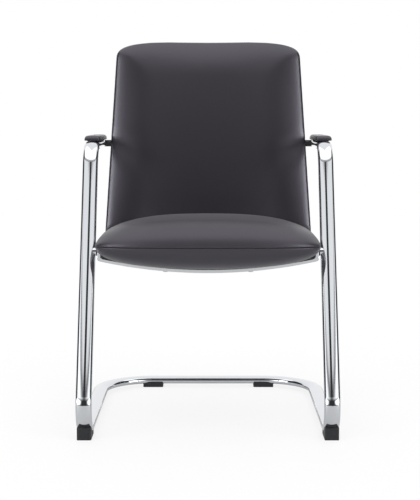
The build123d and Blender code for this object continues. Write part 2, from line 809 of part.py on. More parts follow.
# Back upholstery: dished front cushion and full rear cover, meeting at the side seam
def back_section(rise, fill, draw_in, way, pad, edge):
    half = back_half(rise) - draw_in
    seam = way * soft_gap / 2
    side = dish(half) + seam
    shoulder = half - edge
    bend = half - back_edge_turn[0] * edge
    face = dish(shoulder) + seam + way * fill * pad
    crown = back_dish + seam + way * fill * pad
    with BuildSketch(back_plane(rise)) as section:
        with BuildLine():
            turn = (bend, dish(bend) + seam + way * back_edge_turn[1] * fill * pad)
            ThreePointArc((half, side), turn, (shoulder, face))
            ThreePointArc((shoulder, face), (0, crown), (-shoulder, face))
            ThreePointArc((-shoulder, face), (-turn[0], turn[1]), (-half, side))
            ThreePointArc((-half, side), (0, back_dish + seam), (half, side))
        make_face()
    return section.sketch


def back_stations(way, pad, edge):
    # Height, fullness and how far the sides draw in towards the rounded upper corners
    rows = [
        (0.0, back_foot_fill, back_foot_draw),
        (back_foot_round / 3, back_knee_fill, back_foot_draw / 3),
        (back_foot_round, 1.0, 0.0),
    ]
    for share in back_corner_steps:
        rise = back_height - back_corner_height * (1 - share)
        fill = back_top_fill + (1 - back_top_fill) * sqrt(1 - share * share)
        round_off = (1 - share**back_corner_power) ** (1 / back_corner_power)
        rows.append((rise, fill, back_corner_width * (1 - round_off)))
    return [back_section(rise, fill, draw_in, way, pad, edge) for rise, fill, draw_in in rows]


spacer_room = rods(spacer_plane, [(0, 0)], spacer_radius + soft_gap, spacer_length)
anchor_pocket = anchor_block(pocket_gap)
back_rooms = [spacer_room, anchor_pocket, boss_room]
with BuildPart() as back_cushion:
    loft(sections=back_stations(-1, back_front_pad, back_front_edge), ruled=True)
    for room in back_rooms:
        add(room, mode=Mode.SUBTRACT)
        add(mirror(room, about=Plane.YZ, mode=Mode.PRIVATE), mode=Mode.SUBTRACT)

anchor_head_room = rods(
    anchor_screw_plane, anchor_screw_spots, anchor_head_radius + pocket_gap, -anchor_head_height - pocket_gap
)
bracket_head_rooms = rods(
    back_bracket_plane, back_bracket_spots, bracket_head_radius + pocket_gap, -head_room
)
bracket_shank_rooms = rods(
    back_bracket_plane, back_bracket_spots, bracket_screw_radius + pocket_gap, bracket_screw_length
)
with BuildPart() as back_rear_cover:
    loft(sections=back_stations(1, back_rear_pad, back_rear_edge), ruled=True)
    add(back_board_block(soft_gap), mode=Mode.SUBTRACT)
    for room in back_rooms + [anchor_head_room, bracket_room]:
        add(room, mode=Mode.SUBTRACT)
        add(mirror(room, about=Plane.YZ, mode=Mode.PRIVATE), mode=Mode.SUBTRACT)
    add(bracket_head_rooms, mode=Mode.SUBTRACT)
    add(bracket_shank_rooms, mode=Mode.SUBTRACT)

# Arm pad on a hard base that saddles the tube
with BuildPart() as arm_pad_base_left:
    with BuildSketch(Plane.XY.offset(arm_top - pad_base_skirt)):
        with Locations((-leg_x, pad_middle)):
            RectangleRounded(pad_base_width, pad_base_length, pad_base_width / 3)
    extrude(amount=pad_base_skirt + pad_base_top)
    add(tube_room.part, mode=Mode.SUBTRACT)
    add(
        rods(Plane.XY.offset(arm_z), pad_screw_spots, pad_screw_radius + fit_gap, tube_height),
        mode=Mode.SUBTRACT,
    )

with BuildPart() as arm_pad_screws:
    add(
        screws(
            Plane.XY.offset(arm_z - tube_height / 2),
            pad_screw_spots,
            pad_screw_head_radius,
            pad_screw_head_height,
            pad_screw_radius,
            tube_height + pad_base_top - pocket_gap,
        )
    )
    mirror(about=Plane.YZ)


def pad_section(y, fill):
    half = pad_half_width * (pad_end_width + (1 - pad_end_width) * fill)
    top = pad_height * (pad_end_height + (1 - pad_end_height) * fill)
    plane = Plane(origin=(-leg_x, y, arm_top + pad_lift), x_dir=(1, 0, 0), z_dir=(0, -1, 0))
    side = pad_side[0] * half
    side_z = pad_side[1] * top
    shoulder = pad_shoulder[0] * half
    shoulder_z = pad_shoulder[1] * top
    with BuildSketch(plane) as section:
        with BuildLine():
            Line((-half, 0), (half, 0))
            ThreePointArc((half, 0), (side, side_z), (shoulder, shoulder_z))
            ThreePointArc((shoulder, shoulder_z), (0, top), (-shoulder, shoulder_z))
            ThreePointArc((-shoulder, shoulder_z), (-side, side_z), (-half, 0))
        make_face()
    return section.sketch


with BuildPart() as arm_pad_left:
    pad_rear = pad_front + pad_length
    pad_rows = []
    for share in pad_end_steps:
        pad_rows.append((share * pad_end_round, sqrt(1 - (1 - share) ** 2)))
    pad_rows = [(pad_front + run, fill) for run, fill in pad_rows] + [
        (pad_rear - run, fill) for run, fill in reversed(pad_rows)
    ]
    loft(sections=[pad_section(y, fill) for y, fill in pad_rows], ruled=True)
    with BuildSketch(Plane.XY.offset(arm_top)):
        with Locations((-leg_x, pad_middle)):
            RectangleRounded(
                pad_base_width + 2 * soft_gap, pad_base_length + 2 * soft_gap, pad_base_width / 3 + soft_gap
            )
    extrude(amount=pad_base_top + soft_gap, mode=Mode.SUBTRACT)

# Left pieces have a mirrored twin on the right
pieces = {
    "frame_sleeve": frame_sleeve,
    "glide_screws": glide_screws,
    "seat_bar": seat_bar,
    "bar_washers": bar_washers,
    "bar_bolts": bar_bolts,
    "seat_board": seat_board,
    "seat_tee_nuts": seat_tee_nuts,
    "seat_screws": seat_screws,
    "bracket_screws": bracket_screws,
    "seat_cushion": seat_cushion,
    "seat_underside": seat_underside,
    "seat_base_pan": seat_base_pan,
    "anchor_screws": anchor_screws,
    "back_board": back_board,
    "saddle_washers": saddle_washers,
    "arm_bolts": arm_bolts,
    "back_cushion": back_cushion,
    "back_rear_cover": back_rear_cover,
    "arm_pad_screws": arm_pad_screws,
}
twins = {
    "frame_tube": frame_tube_left,
    "arm_plug": arm_plug_left,
    "front_glide": front_glide_left,
    "rear_glide": rear_glide_left,
    "leg_boss": leg_boss_left,
    "seat_bracket": seat_bracket_left,
    "back_anchor": back_anchor_left,
    "back_spacer": back_spacer_left,
    "arm_pad_base": arm_pad_base_left,
    "arm_pad": arm_pad_left,
}
for name, left in twins.items():
    with BuildPart() as right:
        mirror(left.part, about=Plane.YZ)
    pieces[name + "_left"] = left
    pieces[name + "_right"] = right

for name, piece in pieces.items():
    piece.part.label = name
    export_step(piece.part, f"parts/{name}.step")
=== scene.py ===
# Guest chair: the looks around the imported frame. Metres, X across, front faces -Y, +Z up.
import json
from functools import partial
from math import acos, asin, cos, exp, pi, radians, sin, sqrt, tan

import bmesh
import bpy
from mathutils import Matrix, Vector
from mathutils.kdtree import KDTree


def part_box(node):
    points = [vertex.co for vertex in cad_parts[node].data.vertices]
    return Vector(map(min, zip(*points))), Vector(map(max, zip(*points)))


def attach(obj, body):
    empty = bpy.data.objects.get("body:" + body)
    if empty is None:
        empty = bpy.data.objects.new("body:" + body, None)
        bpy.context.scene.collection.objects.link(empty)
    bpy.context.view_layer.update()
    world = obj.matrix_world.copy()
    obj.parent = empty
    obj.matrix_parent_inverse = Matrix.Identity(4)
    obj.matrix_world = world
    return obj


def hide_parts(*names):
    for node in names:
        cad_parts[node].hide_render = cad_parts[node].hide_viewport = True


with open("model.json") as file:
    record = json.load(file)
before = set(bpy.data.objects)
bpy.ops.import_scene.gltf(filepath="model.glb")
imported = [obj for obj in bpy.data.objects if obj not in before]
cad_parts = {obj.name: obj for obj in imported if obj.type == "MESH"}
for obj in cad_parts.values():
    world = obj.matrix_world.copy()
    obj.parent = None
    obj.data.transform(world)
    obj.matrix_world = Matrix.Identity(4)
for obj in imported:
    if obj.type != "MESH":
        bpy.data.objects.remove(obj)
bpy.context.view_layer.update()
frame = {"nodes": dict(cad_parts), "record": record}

# Frame tube
tube_width = 0.035
tube_height = 0.019
tube_edge = 0.008
arm_bend = 0.065
foot_bend = 0.055
rear_corner = 0.130
leg_lean = radians(22.9)
plug_flange = 0.003

# Seat cross bar
bar_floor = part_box("seat_bar")[0].z
bar_bow_radius = 1.1296
bar_thickness = 0.010
bar_edge = 0.0018
bar_steps = 30
tab_thickness = 0.007
tab_round = 0.010
tab_corner = 0.005
tab_flare = 0.014
tip_steps = 4
tab_steps = 10
corner_steps = 18

# Seat upholstery
seat_front_fall = (0.012, 0.048)
seat_rear_fall = (0.033, 0.030)
seat_corner_power = 6
seat_nose = 0.080
seat_heel = 0.032
seat_peak = 0.4
seat_crown = {"depth": 0.060, "power": 2.8, "taper": 0.62, "fore": 0.18, "aft": 0.57}
seat_belly = {"depth": 0.055, "power": 2.0, "taper": 0.34, "fore": 0.11, "aft": 0.20}
recess_roll = 0.007
recess_clearance = 0.0006
seat_grid = (130, 170)

# Back upholstery
back_recline = radians(10.5)
back_foot_y = 0.131
back_foot_z = 0.412
back_height = 0.4785
back_half_foot = 0.251
back_half_top = 0.2245
back_radius = 0.960
back_dish = 0.033
back_front_pad = 0.026
back_rear_pad = 0.030
back_front_edge = 0.088
back_front_crown = 0.016
back_edge_power = 1.85
back_rear_edge = 0.026
back_rear_crown = 0.002
back_foot_edge = 0.024
back_corner_width = 0.178
back_corner_height = 0.048
back_corner_power = 2.9
back_outline_steps = 1500
back_outline_bias = 3
dimple_depth = 0.012
dimple_reach = 0.105
dimple_width = 0.015
dimple_fan = 0.030
dimple_drop = 0.40
dimple_fade = 1.5
back_gap = 0.0004
back_grid = (120, 150)

# Arm pads
pad_end_round = 0.012
pad_end_width = 0.80
pad_side_power = 6.8
pad_roll = 0.0020
pad_grid = (40, 90)

# All upholstery: rolled seams, rounded edges and padding
seam_roll = 0.0022
edge_power = 2.3
edge_bias = 0.85
ease_turns = 24

# Colours and roughness, as the two ends that a texture moves between
leather_colors = ((0.0095, 0.0078, 0.0098), (0.0148, 0.0122, 0.0154))
back_leather_gloss = (0.29, 0.39)
seat_leather_gloss = (0.39, 0.51)
chrome_colors = ((0.70, 0.72, 0.75), (0.75, 0.77, 0.80))
chrome_gloss = (0.03, 0.075)
plastic_colors = ((0.0087, 0.0094, 0.0116), (0.016, 0.0167, 0.0196))
plastic_gloss = (0.40, 0.62)
zinc_colors = ((0.50, 0.51, 0.52), (0.62, 0.62, 0.61))
zinc_gloss = (0.26, 0.46)
plywood_colors = ((0.50, 0.35, 0.21), (0.70, 0.54, 0.37))
plywood_gloss = (0.5, 0.75)

# View of the photo, whose frame is 420 by 500 pixels
image_height = 500
focal_pixels = 1310
sensor = 36.0
camera_place = (0.0044, -3.0576, 0.700)
camera_pitch = radians(5.927)

# Floor: its glow and paint as the camera sees them, then as other surfaces do
floor_reach = 6.0
floor_roughness = 0.6
floor_lift = 0.8
floor_seen = (0.98, 0.98, 0.98)
floor_shine = 0.3
floor_paint = (0.54, 0.54, 0.54)

# Studio: lights by their turn from the front and lift over the horizon, in degrees
front_box = {"turn": (8, 72), "lift": (33, 44), "soft": (2, 2, 2), "light": 1.0}
front_fill = {"turn": (17, 66), "lift": (24, 31), "soft": (25, 10, 2), "light": 1.9}
side_box = {"turn": (38, 66), "lift": (4, 19), "soft": (25, 6, 4), "light": 10.0}
strip_box = {"turn": (-9, 150), "lift": (50, 100), "soft": (6, 3, 5), "light": 1.5}
tent = {"lift": (44, 46), "light": 0.5}
backdrop = {"turn": (120, 130), "light": 1.0}
studio_dark = 0.04
box_edge = 4
background = 1.0

# Faces that meet at more than this angle keep a sharp edge
sharp_angle = radians(35)


# Materials

def shader(name, color, metallic, roughness):
    """A new material: its nodes, links and main shader with the plain settings."""
    made = bpy.data.materials.new(name)
    made.use_nodes = True
    nodes = made.node_tree.nodes
    links = made.node_tree.links
    main = nodes["Principled BSDF"]
    main.inputs["Base Color"].default_value = (*color, 1)
    main.inputs["Metallic"].default_value = metallic
    main.inputs["Roughness"].default_value = roughness
    return made, nodes, links, main


def texture(nodes, links, kind, scale, stretch=(1, 1, 1), **settings):
    """A procedural texture that reads the object's own metres."""
    place = nodes.new("ShaderNodeTexCoord")
    mapping = nodes.new("ShaderNodeMapping")
    mapping.inputs["Scale"].default_value = stretch
    made = nodes.new("ShaderNodeTex" + kind)
    made.inputs["Scale"].default_value = scale
    for key, value in settings.items():
        made.inputs[key].default_value = value
    links.new(place.outputs["Object"], mapping.inputs["Vector"])
    links.new(mapping.outputs["Vector"], made.inputs["Vector"])
    return made


def spread(nodes, links, source, ends, socket):
    """A texture's value, brought between two ends, drives a socket."""
    made = nodes.new("ShaderNodeMapRange")
    made.inputs["To Min"].default_value, made.inputs["To Max"].default_value = ends
    links.new(source, made.inputs["Value"])
    links.new(made.outputs["Result"], socket)


def tint(nodes, links, source, colors, socket):
    """A texture's value, turned into a colour between two, drives a socket."""
    made = nodes.new("ShaderNodeValToRGB")
    for stop, color in zip(made.color_ramp.elements, colors):
        stop.color = (*color, 1)
    links.new(source, made.inputs["Fac"])
    links.new(made.outputs["Color"], socket)


def bump(nodes, links, source, distance, strength, under=None):
    """A texture's value as relief, over a coarser relief where there is one."""
    made = nodes.new("ShaderNodeBump")
    made.inputs["Distance"].default_value = distance
    made.inputs["Strength"].default_value = strength
    links.new(source, made.inputs["Height"])
    if under is not None:
        links.new(under, made.inputs["Normal"])
    return made.outputs["Normal"]


def leather_material(name, gloss):
    """Dark leather with clouded colour, and with creases, grain and pores one over the other."""
    made, nodes, links, main = shader(name, (0.012, 0.010, 0.0125), metallic=0, roughness=sum(gloss) / 2)
    cloud = texture(nodes, links, "Noise", scale=9, Detail=4)
    grain = texture(nodes, links, "Voronoi", scale=620)
    pores = texture(nodes, links, "Noise", scale=1500, Detail=3)
    creases = texture(nodes, links, "Noise", scale=55, Detail=5, Distortion=0.6)
    tint(nodes, links, cloud.outputs["Fac"], leather_colors, main.inputs["Base Color"])
    spread(nodes, links, pores.outputs["Fac"], gloss, main.inputs["Roughness"])
    low = bump(nodes, links, creases.outputs["Fac"], distance=0.0006, strength=0.10)
    middle = bump(nodes, links, grain.outputs["Distance"], distance=0.0003, strength=0.16, under=low)
    top = bump(nodes, links, pores.outputs["Fac"], distance=0.0001, strength=0.12, under=middle)
    links.new(top, main.inputs["Normal"])
    main.inputs["Specular IOR Level"].default_value = 0.94
    main.inputs["Specular Tint"].default_value = (0.97, 0.94, 1.08, 1)
    main.inputs["Sheen Weight"].default_value = 0.10
    main.inputs["Sheen Roughness"].default_value = 0.35
    main.inputs["Sheen Tint"].default_value = (0.96, 0.92, 1.0, 1)
    return made


def chrome_material():
    """Polished chrome with faint smears and haze."""
    made, nodes, links, main = shader("chrome", (0.72, 0.74, 0.77), metallic=1, roughness=0.05)
    smear = texture(nodes, links, "Noise", scale=14, Detail=6)
    haze = texture(nodes, links, "Noise", scale=240, Detail=3)
    tint(nodes, links, smear.outputs["Fac"], chrome_colors, main.inputs["Base Color"])
    spread(nodes, links, haze.outputs["Fac"], chrome_gloss, main.inputs["Roughness"])
    return made


def plastic_material():
    """Moulded black plastic with a fine grit and worn patches."""
    made, nodes, links, main = shader("black_plastic", (0.012, 0.0125, 0.015), metallic=0, roughness=0.5)
    grit = texture(nodes, links, "Noise", scale=900, Detail=4)
    wear = texture(nodes, links, "Noise", scale=40, Detail=5)
    tint(nodes, links, wear.outputs["Fac"], plastic_colors, main.inputs["Base Color"])
    spread(nodes, links, wear.outputs["Fac"], plastic_gloss, main.inputs["Roughness"])
    relief = bump(nodes, links, grit.outputs["Fac"], distance=0.0002, strength=0.25)
    links.new(relief, main.inputs["Normal"])
    main.inputs["Specular IOR Level"].default_value = 0.5
    return made


def zinc_material():
    """Zinc-plated steel with a spangle and brushed streaks."""
    made, nodes, links, main = shader("zinc_steel", (0.55, 0.56, 0.57), metallic=1, roughness=0.34)
    spangle = texture(nodes, links, "Voronoi", scale=320)
    brushed = texture(nodes, links, "Noise", scale=60, stretch=(1, 1, 12), Detail=5)
    tint(nodes, links, spangle.outputs["Distance"], zinc_colors, main.inputs["Base Color"])
    spread(nodes, links, brushed.outputs["Fac"], zinc_gloss, main.inputs["Roughness"])
    return made


def plywood_material():
    """Raw plywood with its fibres."""
    made, nodes, links, main = shader("plywood", (0.62, 0.46, 0.30), metallic=0, roughness=0.6)
    fibre = texture(nodes, links, "Noise", scale=30, stretch=(1, 8, 1), Detail=8)
    tint(nodes, links, fibre.outputs["Fac"], plywood_colors, main.inputs["Base Color"])
    spread(nodes, links, fibre.outputs["Fac"], plywood_gloss, main.inputs["Roughness"])
    relief = bump(nodes, links, fibre.outputs["Fac"], distance=0.0004, strength=0.3)
    links.new(relief, main.inputs["Normal"])
    return made


# One material for each slot of the record, and one more for the duller leather of the seat
materials = {
    "leather": leather_material("leather", back_leather_gloss),
    "seat_leather": leather_material("seat_leather", seat_leather_gloss),
    "chrome": chrome_material(),
    "black_plastic": plastic_material(),
    "zinc_steel": zinc_material(),
    "plywood": plywood_material(),
}


# Pieces

def add_piece(name, points, faces, slot, *nodes):
    """A closed mesh that stands for CAD nodes and wears one material slot."""
    mesh = bpy.data.meshes.new(name)
    mesh.from_pydata(points, [], faces)
    shape = bmesh.new()
    shape.from_mesh(mesh)
    bmesh.ops.recalc_face_normals(shape, faces=shape.faces)
    shape.to_mesh(mesh)
    shape.free()
    mesh.shade_smooth()
    mesh.set_sharp_from_angle(angle=sharp_angle)
    mesh.materials.append(materials[slot])
    piece = bpy.data.objects.new(name, mesh)
    bpy.context.scene.collection.objects.link(piece)
    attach(piece, "root")
    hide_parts(*nodes)
    return piece


def mirrored(points):
    """The same points on the chair's other side."""
    return [(-x, y, z) for x, y, z in points]


def dress_cad_nodes():
    """Every CAD node, hidden ones too, gets its slot's material and smooth round faces."""
    for part in frame["record"]["subparts"]:
        mesh = frame["nodes"][part["node"]].data
        mesh.materials.clear()
        mesh.materials.append(materials[part["material_slot"]])
        mesh.shade_smooth()
        mesh.set_sharp_from_angle(angle=sharp_angle)


# Bent tube and bar

def bent_path(corners, radii, arc_steps=40, run_steps=8):
    """Places and directions along a run of straights with rounded corners."""
    corners = [Vector(c) for c in corners]
    stops = [corners[0]]
    arcs = []
    for before, corner, after, radius in zip(corners, corners[1:], corners[2:], radii):
        into = (corner - before).normalized()
        away = (after - corner).normalized()
        turn = acos(into.dot(away))
        cut = radius * tan(turn / 2)
        start = corner - into * cut
        side = (away - into * cos(turn)) / sin(turn)
        arcs.append((start, into, side, radius, turn))
        stops += [start, corner + away * cut]
    stops.append(corners[-1])
    path = []
    for index in range(0, len(stops), 2):
        start, end = stops[index], stops[index + 1]
        along = (end - start).normalized()
        path += [(start.lerp(end, step / run_steps), along) for step in range(run_steps)]
        if index // 2 < len(arcs):
            origin, into, side, radius, turn = arcs[index // 2]
            for step in range(arc_steps):
                angle = turn * step / arc_steps
                place = origin + into * radius * sin(angle) + side * radius * (1 - cos(angle))
                path.append((place, into * cos(angle) + side * sin(angle)))
        else:
            path.append((end, along))
    return path


def oval_outline(steps=20):
    """Four-arc oval of the tube: two shallow faces and two tight edges."""
    a, b, r = tube_width / 2, tube_height / 2, tube_edge
    face = ((a - r) ** 2 + b * b - r * r) / (2 * (b - r))
    break_angle = asin((a - r) / (face - r))
    outline = []
    for side in (1, -1):
        for step in range(steps):
            angle = -break_angle + 2 * break_angle * step / steps
            outline.append((side * face * sin(angle), side * (b - face + face * cos(angle))))
        for step in range(steps):
            angle = break_angle + (pi - 2 * break_angle) * step / steps
            outline.append((side * (a - r + r * sin(angle)), side * r * cos(angle)))
    return outline


def rounded_outline(width, height, radius, steps=8):
    """Flat bar's section with rounded edges."""
    outline = []
    for quarter, (right, up) in enumerate(((1, 1), (-1, 1), (-1, -1), (1, -1))):
        for step in range(steps + 1):
            angle = pi / 2 * (quarter + step / steps)
            outline.append((
                right * (width / 2 - radius) + radius * cos(angle),
                up * (height / 2 - radius) + radius * sin(angle),
            ))
    return outline


def swept(path, outlines, width_axis):
    """Closed mesh of outlines carried along a path, one for each place on it."""
    points = []
    for (place, along), outline in zip(path, outlines):
        across = width_axis(along).normalized()
        up = across.cross(along)
        points += [tuple(place + across * w + up * h) for w, h in outline]
    count = len(outlines[0])
    faces = []
    for ring in range(len(path) - 1):
        for step in range(count):
            here = ring * count + step
            beside = ring * count + (step + 1) % count
            faces.append((here, beside, beside + count, here + count))
    faces.append(tuple(range(count)))
    faces.append(tuple(range(len(points) - count, len(points))))
    return points, faces


def tube_across(along):
    """The wide axis of the tube's oval: across the chair, and level round the rear corners."""
    return Vector((along.y, -along.x, 0)) if abs(along.x) > 1e-6 else Vector((1, 0, 0))


def build_frame_tubes():
    """Arm, leg, runner and half of the rear bar as one bent tube, and its mirror image."""
    low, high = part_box("frame_tube_left")
    leg_x = low.x + tube_width / 2
    arm_z = high.z - tube_height / 2
    sled_z = low.z + tube_height / 2
    rear_y = high.y - tube_width / 2
    arm_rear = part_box("arm_plug_left")[1].y - plug_flange
    foot_corner = low.y + tube_height / 2 + foot_bend - foot_bend * tan((pi / 2 + leg_lean) / 2)
    arm_corner = foot_corner + (arm_z - sled_z) * tan(leg_lean)
    corners = [
        (leg_x, arm_rear, arm_z),
        (leg_x, arm_corner, arm_z),
        (leg_x, foot_corner, sled_z),
        (leg_x, rear_y, sled_z),
        (0, rear_y, sled_z),
    ]
    path = bent_path(corners, (arm_bend, foot_bend, rear_corner))
    points, faces = swept(path, [oval_outline()] * len(path), tube_across)
    add_piece("tube_left", points, faces, "chrome", "frame_tube_left")
    add_piece("tube_right", mirrored(points), faces, "chrome", "frame_tube_right")


def bow_z(x, above):
    """Height of the seat bar's bow, or of the curve that far above its lower face."""
    return bar_floor + bar_bow_radius - sqrt((bar_bow_radius - above) ** 2 - x * x)


def eased(start, corner, end, steps):
    """Even steps along a line that turns smoothly from one straight into another."""
    turns = [step / steps for step in range(steps + 1)]
    return [start.lerp(corner, t).lerp(corner.lerp(end, t), t) for t in turns]


def build_seat_bar():
    """Bowed flat bar whose ends turn up into rounded tabs."""
    low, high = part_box("seat_bar")
    middle_y = (low.y + high.y) / 2
    outer_x = high.x
    inner_x = outer_x - tab_thickness

    def spot(x, z):
        return Vector((x, middle_y, z))

    def on_bow(x, above):
        return spot(x, bow_z(x, above))

    # Pairs of points on the bar's outer and inner faces, from the tip of a tab to the middle
    pairs = []
    for step in range(tip_steps + 1):
        angle = pi / 2 * step / tip_steps
        inset = bar_edge * (1 - sin(angle))
        z = high.z - bar_edge * (1 - cos(angle))
        pairs.append((spot(outer_x - inset, z), spot(inner_x + inset, z)))
    tip_end = high.z - bar_edge
    flare_top = bow_z(inner_x, bar_thickness) + tab_flare
    for step in range(1, tab_steps):
        z = tip_end + (flare_top - tip_end) * step / tab_steps
        pairs.append((spot(outer_x, z), spot(inner_x, z)))
    turn_x = outer_x - tab_corner
    turn_z = bow_z(outer_x, 0) + tab_corner
    outer_line = []
    for step in range(corner_steps):
        outer_line.append(spot(outer_x, flare_top + (turn_z - flare_top) * step / corner_steps))
    outer_line += eased(spot(outer_x, turn_z), on_bow(outer_x, 0), on_bow(turn_x, 0), corner_steps)
    foot_x = inner_x - tab_flare
    flare_corner = on_bow(inner_x, bar_thickness)
    flare_foot = on_bow(foot_x, bar_thickness)
    inner_line = eased(spot(inner_x, flare_top), flare_corner, flare_foot, 2 * corner_steps)
    pairs += list(zip(outer_line, inner_line))
    for step in range(1, bar_steps + 1):
        share = 1 - step / bar_steps
        pairs.append((on_bow(turn_x * share, 0), on_bow(foot_x * share, bar_thickness)))
    pairs += [(spot(-o.x, o.z), spot(-i.x, i.z)) for o, i in reversed(pairs[:-1])]

    path = []
    outlines = []
    for outer, inner in pairs:
        up = (inner - outer).normalized()
        place = (outer + inner) / 2
        short = max(0, tab_round - (high.z - place.z))
        width = high.y - low.y - 2 * (tab_round - sqrt(tab_round ** 2 - short ** 2))
        path.append((place, Vector((-up.z, 0, up.x))))
        outlines.append(rounded_outline(width, (inner - outer).length, bar_edge))
    points, faces = swept(path, outlines, lambda along: Vector((0, 1, 0)))
    add_piece("cross_bar", points, faces, "chrome", "seat_bar")


# Upholstery

def edge_dense(count):
    """Even steps from -1 to 1, closer together towards both ends."""
    turns = [-1 + 2 * step / count for step in range(count + 1)]
    return [edge_bias * sin(turn * pi / 2) + (1 - edge_bias) * turn for turn in turns]


def round_up(share, power=edge_power):
    """Rise of a rounded edge: 0 at the seam, 1 and level from the edge's full width inward."""
    return sqrt(1 - (1 - min(max(share, 0), 1)) ** power)


def panel(place, dome, columns, rows, roll, roll_steps=5):
    """Closed padded panel: domed outside, rim rolled into the seam, and a plain inner face."""
    us = edge_dense(columns)
    vs = edge_dense(rows)
    rim = [(i, 0) for i in range(columns)] + [(columns, j) for j in range(rows)]
    rim += [(columns - i, rows) for i in range(columns)] + [(0, rows - j) for j in range(rows)]
    wide = columns + 1
    heights = eased_heights([dome(u, v) for v in vs for u in us], columns, rows)
    points = []
    for k, height in enumerate(heights):
        points.append(place(us[k % wide], vs[k // wide], 0, roll + height))
    loop = [j * wide + i for i, j in rim]
    faces = grid_faces(columns, rows, 0)
    for step in range(1, roll_steps):
        angle = pi / 2 * step / roll_steps
        inset = roll * (1 - cos(angle))
        height = roll * (1 - sin(angle))
        start = len(points)
        points += [place(us[i], vs[j], inset, height) for i, j in rim]
        fresh = list(range(start, len(points)))
        faces += strip_faces(loop, fresh)
        loop = fresh
    start = len(points)
    points += [place(u, v, roll, 0) for v in vs for u in us]
    faces += strip_faces(loop, [start + j * wide + i for i, j in rim])
    faces += grid_faces(columns, rows, start)
    return points, faces


def eased_heights(heights, columns, rows):
    """Padding takes no creases: each inner height goes a little towards its neighbours' mean."""
    wide = columns + 1
    for turn in range(ease_turns):
        before = heights
        heights = list(before)
        for j in range(1, rows):
            for k in range(j * wide + 1, j * wide + columns):
                mean = (before[k - 1] + before[k + 1] + before[k - wide] + before[k + wide]) / 4
                heights[k] = (before[k] + mean) / 2
    return heights


def grid_faces(columns, rows, start):
    """Four-sided faces of a grid of points."""
    wide = columns + 1
    faces = []
    for j in range(rows):
        for i in range(columns):
            here = start + j * wide + i
            faces.append((here, here + 1, here + 1 + wide, here + wide))
    return faces


def strip_faces(one, other):
    """Four-sided faces between two loops of points."""
    count = len(one)
    return [(one[k], one[(k + 1) % count], other[(k + 1) % count], other[k]) for k in range(count)]


def step_up(value, start, width):
    """Smooth step from 0 to 1 that begins at a place and takes a width."""
    share = min(max((value - start) / width, 0), 1)
    return share * share * (3 - 2 * share)


def seat_line(fall, share):
    """How far the seat's front or rear edge draws back: a shallow bow into a rounded corner."""
    bow, corner = fall
    return bow * share ** 2 + corner * (1 - sqrt(max(0, 1 - abs(share) ** seat_corner_power)))


def build_seat_panel(name, node, way, shape, most):
    """Upper or lower half of the seat, which swells up or down from the seam between them."""
    low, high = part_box(node)
    half = high.x
    seam = low.z if way > 0 else high.z

    def edges(x):
        share = x / half
        return low.y + seat_line(seat_front_fall, share), high.y - seat_line(seat_rear_fall, share)

    def place(u, v, inset, height):
        x = u * (half - inset)
        front, rear = edges(x)
        y = front + inset + (rear - front - 2 * inset) * (v + 1) / 2
        return x, y, seam + way * height

    def dome(u, v):
        front, rear = edges(u * half)
        length = rear - front
        run = length * (v + 1) / 2
        across = (1 - abs(u) ** shape["power"]) ** shape["taper"]
        off = run / length - seat_peak
        if off < 0:
            slope = shape["fore"] * (off / seat_peak) ** 2
        else:
            slope = shape["aft"] * (off / (1 - seat_peak)) ** 2
        ends = round_up(run / seat_nose) * round_up((length - run) / seat_heel)
        full = (shape["depth"] - seam_roll) * across * (1 - slope) * ends
        return most(u * half, front + run, seam_roll + full) - seam_roll

    points, faces = panel(place, dome, *seat_grid, seam_roll)
    piece = add_piece(name, points, faces, "leather", node)
    piece.data.materials[0] = materials["seat_leather"]


def build_seat():
    """Both halves of the seat. The lower one goes round the bar and the pan."""
    bar_low, bar_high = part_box("seat_bar")
    pan_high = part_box("seat_base_pan")[1]
    washer_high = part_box("bar_washers")[1]
    pan_top = bar_thickness + pan_high.z - bow_z(pan_high.x, bar_thickness) + recess_clearance
    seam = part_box("seat_underside")[1].z
    tab_in = bar_high.x - tab_thickness

    def whole(x, y, height):
        return height

    def recessed(x, y, height):
        """The lower panel leaves room for the bar, its tabs and the pan on it."""
        behind_front = step_up(y, bar_low.y - recess_roll, recess_roll)
        along = behind_front * (1 - step_up(y, pan_high.y, recess_roll))
        inside = along * (1 - step_up(abs(x), tab_in - recess_roll, recess_roll))
        free = seam - bow_z(min(abs(x), tab_in), pan_top)
        height += (min(height, free) - height) * inside
        tabs = behind_front * (1 - step_up(y, bar_high.y, recess_roll))
        tabs *= step_up(abs(x), tab_in - tab_flare - recess_roll, recess_roll)
        free = seam - washer_high.z - recess_clearance
        return height + (min(height, free) - height) * tabs

    build_seat_panel("seat_top", "seat_cushion", 1, seat_crown, whole)
    build_seat_panel("seat_bottom", "seat_underside", -1, seat_belly, recessed)


